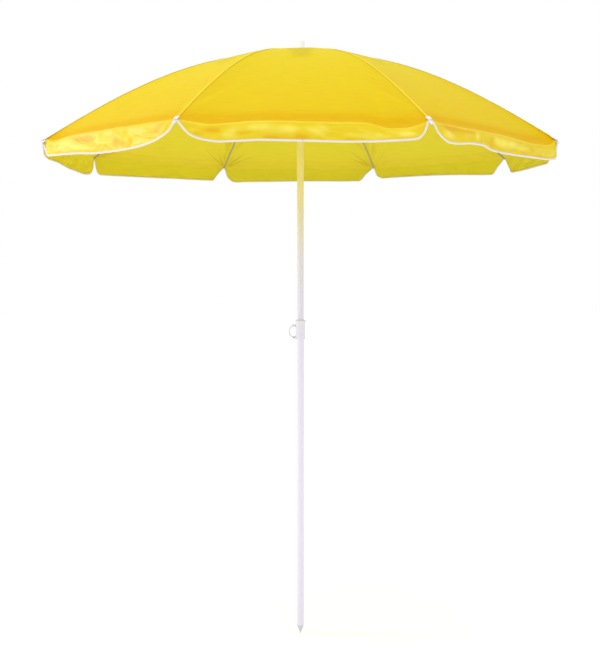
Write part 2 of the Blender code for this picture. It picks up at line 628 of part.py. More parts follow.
def panel(k):
    """One gore and its flap: ruled between two rib curves, sagging a little in between."""
    a0, a1 = FIRST_RIB + k * STEP, FIRST_RIB + (k + 1) * STEP
    d0 = Vector((math.cos(a0), math.sin(a0), 0.0))
    d1 = Vector((math.cos(a1), math.sin(a1), 0.0))
    t0, t1 = Vector((-d0.y, d0.x, 0.0)), Vector((-d1.y, d1.x, 0.0))
    mid = (d0 + d1).normalized()
    shares = [0.5 - 0.5 * math.cos(math.pi * (0.10 + 0.80 * j / ACROSS)) for j in range(ACROSS + 1)]
    shares = [(s - shares[0]) / (shares[-1] - shares[0]) for s in shares]
    rows = []
    for i in range(ALONG + 1):
        r, z, dr, dz = bezier((i / ALONG) ** 1.15)
        p = d0 * r + t0 * SEAM_GAP
        q = d1 * r - t1 * SEAM_GAP
        share = min(max((r - SAG_FROM) / (RIM_R - SAG_FROM), 0.0), 1.0)
        sag = PANEL_SAG * math.sin(math.pi * share) ** 0.7 if 0.0 < share < 1.0 else 0.0
        row = []
        for s in shares:
            drop = 4.0 * s * (1.0 - s) * sag
            row.append(p.lerp(q, s) + Vector((0.0, 0.0, z)) + drop * (mid * dz - Vector((0.0, 0.0, dr))))
        rows.append(row)
    p = d0 * RIM_R + t0 * FLAP_GAP
    q = d1 * RIM_R - t1 * FLAP_GAP
    width = (q - p).length
    for i in range(1, DOWN + 1):
        row = []
        for s in shares:
            z = RIM_Z - FOLD_DROP - (i / DOWN) * (flap_depth(s * width, width) - FOLD_DROP)
            row.append(p.lerp(q, s) + mid * FOLD_OUT + Vector((0.0, 0.0, z)))
        rows.append(row)
    n_rows, n_cols = len(rows), len(shares)

    def normal(i, j):
        u = rows[i][min(j + 1, n_cols - 1)] - rows[i][max(j - 1, 0)]
        v = rows[min(i + 1, n_rows - 1)][j] - rows[max(i - 1, 0)][j]
        return v.cross(u).normalized()
    bm = bmesh.new()
    outer = [[bm.verts.new(rows[i][j]) for j in range(n_cols)] for i in range(n_rows)]
    inner = [[bm.verts.new(rows[i][j] + CLOTH_T * normal(i, j)) for j in range(n_cols)] for i in range(n_rows)]
    for i in range(n_rows - 1):
        for j in range(n_cols - 1):
            bm.faces.new((outer[i][j], outer[i + 1][j], outer[i + 1][j + 1], outer[i][j + 1]))
            bm.faces.new((inner[i][j], inner[i][j + 1], inner[i + 1][j + 1], inner[i + 1][j]))
    edge = [(0, j) for j in range(n_cols)] + [(i, n_cols - 1) for i in range(1, n_rows)]
    edge += [(n_rows - 1, j) for j in range(n_cols - 2, -1, -1)] + [(i, 0) for i in range(n_rows - 2, 0, -1)]
    for (i, j), (m, n) in zip(edge, edge[1:] + edge[:1]):
        bm.faces.new((outer[i][j], outer[m][n], inner[m][n], inner[i][j]))
    add(f"canopy_panel_{k + 1}", bm, CLOTH, 0.0, 0.6)


def clear_scene():
    for ob in list(bpy.data.objects):
        bpy.data.objects.remove(ob)


def main():
    clear_scene()
    lower_pole()
    ground_spike()
    height_collar()
    ring_hinge_pin()
    lock_ring()
    lock_pin()
    upper_pole()
    pole_bush()
    crown_hub()
    crown_wire_ring()
    finial_cap()
    ribs_and_stretchers()
    runner()
    for k in range(RIBS):
        panel(k)


main()
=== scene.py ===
"""Beach umbrella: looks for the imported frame. Metres, +Z up, origin at the point of the ground spike."""
import math

import bmesh
import bpy
import numpy as np
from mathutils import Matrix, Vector


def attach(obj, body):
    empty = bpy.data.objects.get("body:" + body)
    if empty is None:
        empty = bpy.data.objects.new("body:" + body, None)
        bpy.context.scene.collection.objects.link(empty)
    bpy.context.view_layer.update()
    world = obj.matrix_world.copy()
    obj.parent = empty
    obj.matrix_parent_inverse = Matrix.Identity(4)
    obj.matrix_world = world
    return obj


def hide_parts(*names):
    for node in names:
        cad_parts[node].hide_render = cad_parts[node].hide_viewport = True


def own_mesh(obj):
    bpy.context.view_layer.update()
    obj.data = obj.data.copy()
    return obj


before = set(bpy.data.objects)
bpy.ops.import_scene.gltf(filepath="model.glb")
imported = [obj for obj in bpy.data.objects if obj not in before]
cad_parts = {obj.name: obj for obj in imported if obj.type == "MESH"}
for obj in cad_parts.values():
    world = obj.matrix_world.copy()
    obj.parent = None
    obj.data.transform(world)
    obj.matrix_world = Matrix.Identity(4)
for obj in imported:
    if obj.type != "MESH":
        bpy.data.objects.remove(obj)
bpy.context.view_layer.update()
scene = bpy.context.scene

# ------------------------------------------------------------------ sizes shared with the frame
RIBS = 8
STEP = 2.0 * math.pi / RIBS
FIRST_RIB = STEP / 2.0
RIM_R, RIM_Z, CROWN_RISE = 0.800, 1.645, 0.298
CURVE = np.array([(0.0130, CROWN_RISE), (0.320, CROWN_RISE * 0.985), (0.540, CROWN_RISE * 0.567), (RIM_R,
                                                                                                   0.0)])
CLOTH_KEEP, LAP_KEEP = 0.34, 0.42    # shares of the width left when the ribs fold
VALANCE = 0.060          # longest flap
CLOTH_T = 0.0006
ROWS_TOP, ROWS_FLAP, COLS = 120, 20, 70       # COLS is for half a gore
# gore k runs from rib k to rib k + 1. Its flap's depth at distances along the rim, both in metres
DEPTHS = {
    0: ((0, 0.002), (0.030, 0.030), (0.058, 0.0575), (0.20, 0.052), (0.385, 0.047), (0.565, 0.048), (0.595,
                                                                                                     0.038),
        (0.606, 0.022), (0.612, 0.002)),
    1: ((0, 0.002), (0.030, 0.028), (0.060, 0.056), (0.30, 0.058), (0.568, 0.0615), (0.596, 0.047), (0.607,
                                                                                                     0.024),
        (0.612, 0.002)),
    2: ((0, 0.002), (0.032, 0.030), (0.064, 0.058), (0.30, 0.059), (0.588, 0.061), (0.604, 0.046), (0.612,
                                                                                                    0.002)),
    3: ((0, 0.002), (0.006, 0.030), (0.020, 0.048), (0.050, 0.062), (0.090, 0.067), (0.160, 0.070), (0.300,
                                                                                                     0.066),
        (0.433, 0.0596), (0.560, 0.056), (0.600, 0.048), (0.612, 0.003)),
    4: ((0, 0.003), (0.004, 0.044), (0.024, 0.0515), (0.10, 0.053), (0.176, 0.055), (0.271, 0.0605), (0.361,
                                                                                                      0.0610),
        (0.447, 0.0580), (0.517, 0.0505), (0.566, 0.039), (0.596, 0.023), (0.609, 0.008), (0.612, 0.002)),
    5: ((0, 0.002), (0.0077, 0.011), (0.0263, 0.033), (0.045, 0.044), (0.072, 0.052), (0.104, 0.0555),
        (0.153, 0.054),
        (0.206, 0.0515), (0.286, 0.0527), (0.407, 0.0544), (0.488, 0.054), (0.542, 0.0525), (0.582, 0.0490),
        (0.598, 0.0380), (0.606, 0.0220), (0.612, 0.002)),
    6: ((0, 0.002), (0.013, 0.012), (0.026, 0.028), (0.046, 0.043), (0.071, 0.0510), (0.103, 0.0525),
        (0.179, 0.0470),
        (0.226, 0.0470), (0.260, 0.0540), (0.295, 0.0583), (0.357, 0.061), (0.420, 0.0615), (0.487, 0.062),
        (0.554, 0.0632), (0.600, 0.0600), (0.609, 0.052), (0.612, 0.004)),
    7: ((0, 0.002), (0.030, 0.030), (0.060, 0.050), (0.080, 0.059), (0.100, 0.064), (0.300, 0.063), (0.510,
                                                                                                     0.061),
        (0.550, 0.050), (0.580, 0.032), (0.600, 0.015), (0.612, 0.002))}
# how strongly the cloth drags at each gore's first and second seam
DRAG = {0: (0.3, 0.3), 1: (0.2, 0.3), 2: (0.3, 0.3), 3: (0.3, 0.2), 4: (0.25, 0.15), 5: (0.35, 1.0),
        6: (0.15, 0.2),
        7: (0.3, 0.3)}
# how far the fold over the rim wire hangs under the straight line from rib to rib
EVEN_DROP = ((0, 0.0), (0.10, 0.0016), (0.306, 0.0032), (0.51, 0.0016), (0.612, 0.0))
DROPS = {k: EVEN_DROP for k in range(RIBS)}
DROPS[4] = ((0, 0.0), (0.020, 0.006), (0.039, 0.008), (0.109, 0.0015), (0.20, -0.002), (0.33, -0.003),
            (0.447, -0.0015),
            (0.554, -0.001), (0.612, 0.0))
DROPS[5] = ((0, 0.0), (0.04, 0.006), (0.086, 0.0115), (0.139, 0.008), (0.20, 0.0035), (0.26, 0.003), (0.32,
                                                                                                      0.0045),
            (0.45, 0.006), (0.489, 0.014), (0.515, 0.0205), (0.555, 0.0195), (0.582, 0.014), (0.604, 0.006),
            (0.612, 0.0))
DROPS[6] = ((0, 0.0), (0.03, 0.004), (0.071, 0.0056), (0.125, 0.0068), (0.237, 0.0080), (0.295, 0.0097),
            (0.357, 0.013),
            (0.420, 0.0175), (0.487, 0.0205), (0.554, 0.0205), (0.600, 0.012), (0.612, 0.0))
# flap corners that stand away from the pole: gore, distance along the rim, reach along the rim, how far
FLARES = ((6, 0.612, 0.10, 0.007), (3, 0.612, 0.10, 0.012), (4, 0.0, 0.06, 0.003), (7, 0.0, 0.08, -0.004))
# painted shade (strength below 0) and painted satin highlights (strength above 0) on the front flaps, each
# with a small dip or rise in the cloth: gore, distance along the rim, share down, two half sizes, strength
PAINTED_SHADE_AND_SHEEN_PATCHES = ((5, 0.088, 0.38, 0.022, 0.16, -1.1), (5, 0.055, 0.62, 0.016, 0.30, -0.55), (5, 0.163, 0.58,
                                                                                       0.017, 0.12, -0.8),
           (5, 0.246, 0.86, 0.042, 0.13, -0.95), (5, 0.308, 0.80, 0.018, 0.22, -1.1), (5, 0.348, 0.92,
                                                                                       0.010, 0.12, -0.6),
           (5, 0.435, 0.90, 0.024, 0.14, -0.9), (5, 0.392, 0.45, 0.030, 0.20, -0.35), (5, 0.590, 0.45,
                                                                                       0.016, 0.22, -0.5),
           (5, 0.13, 0.55, 0.020, 0.30, 0.7), (5, 0.20, 0.35, 0.035, 0.16, 0.6), (5, 0.27, 0.40, 0.030,
                                                                                  0.20, 0.8),
           (5, 0.345, 0.45, 0.030, 0.25, 0.6), (5, 0.47, 0.70, 0.050, 0.20, 0.6), (5, 0.56, 0.55, 0.025,
                                                                                   0.18, 0.8),
           (4, 0.190, 0.30, 0.050, 0.16, -1.0), (4, 0.235, 0.36, 0.022, 0.14, -0.8), (4, 0.365, 0.55, 0.018,
                                                                                      0.30, -0.8),
           (4, 0.405, 0.75, 0.020, 0.12, -0.7), (4, 0.115, 0.92, 0.030, 0.12, -0.6), (4, 0.545, 0.45, 0.020,
                                                                                      0.22, -0.9),
           (4, 0.565, 0.20, 0.012, 0.20, -0.5), (4, 0.10, 0.45, 0.050, 0.20, 0.8), (4, 0.17, 0.72, 0.060,
                                                                                    0.14, 0.9),
           (4, 0.30, 0.35, 0.050, 0.28, 0.6), (4, 0.44, 0.35, 0.040, 0.20, 0.7), (4, 0.48, 0.75, 0.040,
                                                                                  0.20, 0.5),
           (6, 0.085, 0.22, 0.045, 0.16, -0.9), (6, 0.160, 0.25, 0.045, 0.16, -0.9), (6, 0.215, 0.72, 0.010,
                                                                                      0.30, -0.6),
           (6, 0.270, 0.60, 0.012, 0.30, -0.7), (6, 0.430, 0.80, 0.020, 0.10, -0.8), (6, 0.470, 0.50, 0.012,
                                                                                      0.14, -0.8),
           (6, 0.525, 0.85, 0.030, 0.10, -0.7), (6, 0.070, 0.60, 0.030, 0.25, 0.7), (6, 0.200, 0.40, 0.012,
                                                                                     0.25, 0.8),
           (6, 0.320, 0.45, 0.040, 0.24, 0.9), (6, 0.400, 0.45, 0.050, 0.22, 0.9), (6, 0.560, 0.70, 0.040,
                                                                                    0.20, 0.6))


# ------------------------------------------------------------------ small noise tools
def lattice(ix, iy, seed):
    h = (ix.astype(np.int64) * 374761393 + iy.astype(np.int64) * 668265263 + seed * 2246822519) & 0xFFFFFFFF
    h = ((h ^ (h >> 13)) * 1274126177) & 0xFFFFFFFF
    return ((h ^ (h >> 16)) & 0xFFFF) / 32767.5 - 1.0


def smooth_noise(x, y, seed):
    """Value noise from -1 to 1 over arrays."""
    ix, iy = np.floor(x), np.floor(y)
    fx, fy = x - ix, y - iy
    fx, fy = fx * fx * fx * (fx * (fx * 6 - 15) + 10), fy * fy * fy * (fy * (fy * 6 - 15) + 10)
    a, b = lattice(ix, iy, seed), lattice(ix + 1, iy, seed)
    c, d = lattice(ix, iy + 1, seed), lattice(ix + 1, iy + 1, seed)
    return (a * (1 - fx) + b * fx) * (1 - fy) + (c * (1 - fx) + d * fx) * fy


def folds(x, y, seed, octaves=3):
    """Noise with soft ridges, like creased satin."""
    out = np.zeros_like(x)
    gain = 1.0
    for o in range(octaves):
        n = smooth_noise(x * 2 ** o, y * 2 ** o, seed + 17 * o)
        out += gain * (1.0 - 2.0 * np.sqrt(n * n + 0.004))
        gain *= 0.5
    return out / 1.75


def through(knots, x):
    """Smooth curve through the knots that never overshoots them."""
    kx, ky = (np.array(c, float) for c in zip(*knots))
    h, d = np.diff(kx), np.diff(ky) / np.diff(kx)
    m = np.zeros_like(kx)
    m[0], m[-1] = d[0], d[-1]
    same = d[:-1] * d[1:] > 0
    m[1:-1][same] = 2.0 * d[:-1][same] * d[1:][same] / (d[:-1] + d[1:])[same]
    j = np.clip(np.searchsorted(kx, x) - 1, 0, len(h) - 1)
    u = np.clip((x - kx[j]) / h[j], 0, 1)
    return ((1 + 2 * u) * (1 - u) ** 2 * ky[j] + u * (1 - u) ** 2 * h[j] * m[j]
            + u * u * (3 - 2 * u) * ky[j + 1] + u * u * (u - 1) * h[j] * m[j + 1])


# ------------------------------------------------------------------ cloth shape
def curve(t):
    """Canopy's outer line along a rib: radius, height."""
    s = 1.0 - t
    w = np.stack([s ** 3, 3 * s * s * t, 3 * s * t * t, t ** 3], -1)
    p = w @ CURVE
    return p[..., 0], p[..., 1] + RIM_Z


def bump(x, width):
    return np.exp(-(x / width) ** 2)


def fan(dx, dy, seed, lines):
    """Creases that spread from a corner: height, and a tone of painted shade along each crease and painted
    light on the ridge beside it.

    dx runs along the rim and dy up the rib, both from the corner.

    Each line is (angle from the rim, length, bend, strength).
    """
    r = np.hypot(dx, dy) + 1e-6
    ang = np.arctan2(dy, dx)
    rng = np.random.default_rng(seed)
    height, tone = np.zeros_like(r), np.zeros_like(r)
    for at, length, bend, strength in lines:
        at, length = at + rng.uniform(-0.05, 0.05), length * rng.uniform(0.85, 1.15)
        width = 0.0026 + 0.010 * r
        off = (ang - at - bend * r) * r
        fade = strength * np.clip(r / 0.018, 0, 1) * np.exp(-(r / length) ** 3)
        height += fade * (0.45 * bump(off + 1.8 * width, 1.5 * width) - bump(off, width))
        # painted shade in the crease, painted light on its ridge
        tone += fade * (0.35 * bump(off + 1.8 * width, 1.5 * width) - 1.1 * bump(off, 0.9 * width))
    return height, tone


LONG_LINES = ((0.20, 0.12, 0.3, 0.7), (0.42, 0.21, 0.5, 1.0), (0.66, 0.18, 0.7, 0.9), (0.92, 0.12, 0.8, 0.8),
              (1.16, 0.08, 0.8, 0.6))
SHORT_LINES = ((0.25, 0.06, 0.3, 0.6), (0.55, 0.10, 0.5, 0.8), (0.90, 0.09, 0.7, 0.8), (1.20, 0.06, 0.8, 0.6))
FAINT_LINES = ((0.30, 0.09, 0.4, 0.35), (0.75, 0.11, 0.5, 0.30), (1.10, 0.07, 0.6, 0.25))
# creases at each gore's first and second rib
CORNER_LINES = {k: (FAINT_LINES, FAINT_LINES) for k in range(RIBS)}
CORNER_LINES[0] = (FAINT_LINES, SHORT_LINES)
CORNER_LINES[1] = (SHORT_LINES, LONG_LINES)
CORNER_LINES[2] = (SHORT_LINES, FAINT_LINES)


def chord(k, s):
    """Unit plan vectors at share s from rib k to rib k + 1, and the panel's outward direction."""
    a0, a1 = FIRST_RIB + k * STEP, FIRST_RIB + (k + 1) * STEP
    d0, d1 = np.array([math.cos(a0), math.sin(a0)]), np.array([math.cos(a1), math.sin(a1)])
    mid = (d0 + d1) / np.linalg.norm(d0 + d1)
    return (1 - s)[..., None] * d0 + s[..., None] * d1, mid


HALF = RIM_R * math.sin(STEP / 2.0)           # half the rim chord


def top_sheet(k, s, t):
    """Outer face of gore k at share s across it and t from crown to rim."""
    r, z = curve(t)
    plan, mid = chord(k, s)
    e = 1e-3
    r2, z2 = curve(np.clip(t + e, 0, 1))
    r1, z1 = curve(np.clip(t - e, 0, 1))
    dr, dz = r2 - r1, z2 - z1
    ln = np.hypot(dr, dz) + 1e-12
    dr, dz = dr / ln, dz / ln
    nrm = np.stack([-mid[0] * dz, -mid[1] * dz, dr], -1)
    across = 4.0 * s * (1.0 - s)
    up = 1.0 - t
    along_rim = 2.0 * HALF * np.minimum(s, 1.0 - s) * (r / RIM_R)
    from_rim = up * 0.90
    sag = 0.0070 * across ** 0.8 * np.sin(np.pi * np.clip((r - 0.20) / (RIM_R - 0.20), 0, 1))
    sag = sag - 0.0045 * across * bump(r - 0.18, 0.11)
    hem = 0.0045 * bump(from_rim - 0.020, 0.014) * np.clip(along_rim / 0.05, 0, 1)
    h = -sag - hem
    x = 2.0 * HALF * s * (r / RIM_R)
    h += 0.0016 * smooth_noise(x * 9.0 + 3.1 * k, t * 6.0, 5 + k) * across
    second = int(s[0, 0] > 0.5)
    low, low_tone = fan(along_rim, from_rim, 31 + 2 * k + second, CORNER_LINES[k][second])
    h += 0.0026 * low * np.clip(across * 8, 0, 1)
    pucker = np.sin(from_rim * 330.0 + 2.5 * smooth_noise(from_rim * 20.0, s * 0 + k,
                                                          3 + k) + along_rim * 90.0)
    amount = np.clip(smooth_noise(from_rim * 7.0, s * 2.0 + k * 3.7, 91 + k), 0, 1)
    h += 0.00055 * pucker * bump(along_rim - 0.016, 0.016) * amount
    # drag lines that run into the seam at a narrow angle, in height and as painted shade and light along them
    reach = DRAG[k][second]
    drag = smooth_noise(along_rim * 75.0 - from_rim * 30.0 + 5.7 * k, from_rim * 7.0, 140 + k)
    drag = np.clip(drag * 3.0 - 0.3, -1, 1) * reach * bump(along_rim - 0.030, 0.026) * bump(from_rim - 0.20,
                                                                                            0.17)
    h += 0.0016 * drag
    # painted shade and light along the drag lines
    low_tone = low_tone + 0.9 * drag
    h *= np.clip((r - 0.022) / 0.03, 0, 1)
    z = z - through(DROPS[k], 2.0 * HALF * s) * np.clip((t - 0.80) / 0.20, 0, 1) ** 1.6
    p = np.concatenate([plan * r[..., None], z[..., None]], -1)
    return p + nrm * h[..., None], np.clip(low_tone, -1, 1) * np.clip(across * 8, 0, 1)


def flap_sheet(k, s, d):
    """Hanging flap of gore k: share s across it and share d down it."""
    plan, mid = chord(k, s)
    x = 2.0 * HALF * s
    drop = through(DROPS[k], x)
    z = drop + d * np.maximum(through(DEPTHS[k], x) - drop, 0.0008)
    edge = np.clip(np.minimum(x, 2.0 * HALF - x) / 0.05, 0, 1)
    wave = 0.0042 * smooth_noise(x * 8.0 + 7.3 * k, z * 6.0, 200 + k) * d
    warp = 0.5 * smooth_noise(x * 12.0 + 1.3 * k, z * 16.0, 350 + k)
    slant = x + 0.8 * z * (-1) ** k
    hold = np.sin(np.pi * np.clip(d * 0.96 + 0.02, 0, 1)) ** 0.7
    broad = folds(slant * 9.0 + 1.7 * k + warp, z * 26.0 - x * 5.0 + warp, 400 + k, 2)
    fine = folds(slant * 30.0 + warp, z * 46.0 + 9.0 * x, 450 + k, 2)
    satin = (0.0050 * broad + 0.0010 * fine) * hold
    back = k in (0, 1, 2)
    if back:
        ripple = np.sin(x * 210.0 + 3.0 * smooth_noise(x * 9.0, z * 12.0, 610 + k))
        ripple = ripple * smooth_noise(x * 14.0, z * 9.0, 640 + k)
        satin = 0.25 * satin + 0.0008 * ripple * d
    # painted shade in the satin's hollows and painted sheen on its ridges, then the listed patches of each
    tone = 0.30 * np.clip(satin / 0.0050, -1, 1)
    for gore, px, pd, wx, wd, strength in PAINTED_SHADE_AND_SHEEN_PATCHES:
        if gore == k:
            wobble = 0.5 * smooth_noise(x * 55.0, d * 2.6, 700 + k)
            q = ((x - px + 0.25 * wx * wobble) / wx) ** 2 + ((d - pd + 0.4 * wd * wobble) / wd) ** 2
            tone = tone + strength * np.exp(-q ** 1.3) * (0.85 + 0.5 * wobble)
            satin = satin + 0.0008 * strength * np.exp(-q) * hold
    out = 0.0015 + (wave + satin) * edge + 0.0040 * edge * np.sin(np.pi * np.clip(d * 0.6, 0, 1))
    for gore, at, reach, far in FLARES:
        if gore == k:
            out = out + far * np.clip(1.0 - np.abs(x - at) / reach, 0, 1) ** 2 * d ** 1.5
    droop = 0.0010 * smooth_noise(x * 8.0 + 5.1 * k, x * 0.0, 500 + k) * edge * d
    p = np.concatenate([plan * RIM_R, np.full(s.shape + (1,), RIM_Z)], -1)
    p[..., :2] += mid * out[..., None]
    p[..., 2] -= z + droop
    return p, np.clip(tone, -1, 1) * np.clip(edge * 3, 0, 1)


def sheet_point(k, s, v):
    """Points and a tone of painted shade and light, from -1, in a crease, to 1. v from 0 to 1 is the gore,
    from 1 to 2 is its flap.
    """
    top, top_tone = top_sheet(k, s, np.clip(v, 0, 1))
    flap, flap_tone = flap_sheet(k, s, np.clip(v - 1.0, 0, 1))
    on_top = v <= 1.0
    return np.where(on_top[..., None], top, flap), np.where(on_top, top_tone, flap_tone)


def shares():
    """Half a gore, from the rib at 0 to the middle at 0.5, closer together by the rib."""
    u = np.linspace(0.0, 1.0, COLS + 1)
    return 0.5 * (0.35 * u ** 2.2 + 0.65 * u)


def rows():
    u = np.linspace(0.0, 1.0, ROWS_TOP + 1)
    t = 1.0 - (1.0 - u) * (0.55 + 0.45 * (1.0 - u))
    d = 1.0 + np.linspace(0.0, 1.0, ROWS_FLAP + 1)[1:] ** 0.9
    return np.concatenate([t, d])


def wedge_grid(i):
    """Cloth round rib i: (rows, columns, 3) of points, and the painted shade and light tone, gore share and
    row value at each.
    """
    v = rows()
    s = shares()
    left_s, right_s = 1.0 - s[::-1], s[1:]
    k0, k1 = (i - 1) % RIBS, i
    vv_l, ss_l = np.meshgrid(v, left_s, indexing="ij")
    vv_r, ss_r = np.meshgrid(v, right_s, indexing="ij")

    left, left_tone = sheet_point(k0, ss_l, vv_l)
    right, right_tone = sheet_point(k1, ss_r, vv_r)
    pts = np.concatenate([left, right], 1)
    tone = np.concatenate([left_tone, right_tone], 1)
    share = np.concatenate([ss_l, ss_r], 1)
    row = np.concatenate([vv_l, vv_r], 1)
    return pts, tone, share, row


def cloth_wedge(i):
    pts, tone, share, row = wedge_grid(i)
    nr, nc = pts.shape[:2]
    # real surface normals for the thickness, from the grid itself
    gu = np.gradient(pts, axis=1)
    gv = np.gradient(pts, axis=0)
    g = np.cross(gv, gu)
    g /= np.linalg.norm(g, axis=-1, keepdims=True) + 1e-12
    inner = pts - g * CLOTH_T
    verts = np.concatenate([pts.reshape(-1, 3), inner.reshape(-1, 3)])
    idx = np.arange(nr * nc).reshape(nr, nc)
    a, b, c, d = idx[:-1, :-1], idx[1:, :-1], idx[1:, 1:], idx[:-1, 1:]
    outer_f = np.stack([a, b, c, d], -1).reshape(-1, 4)
    inner_f = outer_f[:, ::-1] + nr * nc
    ring = np.concatenate([idx[0, :-1], idx[:-1, -1], idx[-1, :0:-1], idx[:0:-1, 0]])
    nxt = np.roll(ring, -1)
    rim_f = np.stack([ring, nxt, nxt + nr * nc, ring + nr * nc], -1)
    faces = np.concatenate([outer_f, inner_f, rim_f])
    me = bpy.data.meshes.new(f"canopy_cloth_{i + 1}")
    me.from_pydata(verts.tolist(), [], faces.tolist())
    me.materials.append(TOP_CLOTH)
    me.materials.append(UNDER_CLOTH)
    me.materials.append(FLAP_CLOTH)
    in_flap = (row[:-1, :-1] >= 1.0).reshape(-1)
    slots = np.zeros(len(faces), int)
    slots[:len(outer_f)] = np.where(in_flap, 2, 0)
    slots[len(outer_f):] = 1
    me.polygons.foreach_set("material_index", slots)
    total = nr * nc
    hard = set()
    for a_, b_ in zip(ring.tolist(), nxt.tolist()):
        hard.add((min(a_, b_), max(a_, b_)))
        hard.add((min(a_, b_) + total, max(a_, b_) + total))
    ends = np.zeros(len(me.edges) * 2, int)
    me.edges.foreach_get("vertices", ends)
    ends = np.sort(ends.reshape(-1, 2), axis=1)
    sharp = me.attributes.new("sharp_edge", "BOOLEAN", "EDGE")
    sharp.data.foreach_set("value", np.array([tuple(e) in hard for e in ends.tolist()]))
    me.polygons.foreach_set("use_smooth", np.ones(len(faces), bool))
    # painted shade and light: the crease and sheen tone, stored on every point for the cloth materials
    shade = me.attributes.new("painted_fold_shade_and_sheen", "FLOAT", "POINT")
    shade.data.foreach_set("value", np.concatenate([tone.reshape(-1), tone.reshape(-1)]))
    uv = me.uv_layers.new(name="cloth")
    loops = np.array([l.vertex_index for l in me.loops])
    flat_u = (share * 2.0 * HALF).reshape(-1)
    flat_v = np.where(row <= 1, row * 0.90, 0.90 + (row - 1) * VALANCE).reshape(-1)
    uu, vv = np.concatenate([flat_u, flat_u]), np.concatenate([flat_v, flat_v])
    uv.data.foreach_set("uv", np.stack([uu[loops], vv[loops]], -1).reshape(-1))
    ob = bpy.data.objects.new(f"canopy_cloth_{i + 1}", me)
    scene.collection.objects.link(ob)
    return ob, (pts, g)


# ------------------------------------------------------------------ materials
def nodes_of(m):
    m.use_nodes = True
    nt = m.node_tree
    nt.nodes.clear()
    return nt, nt.nodes.new, nt.links.new


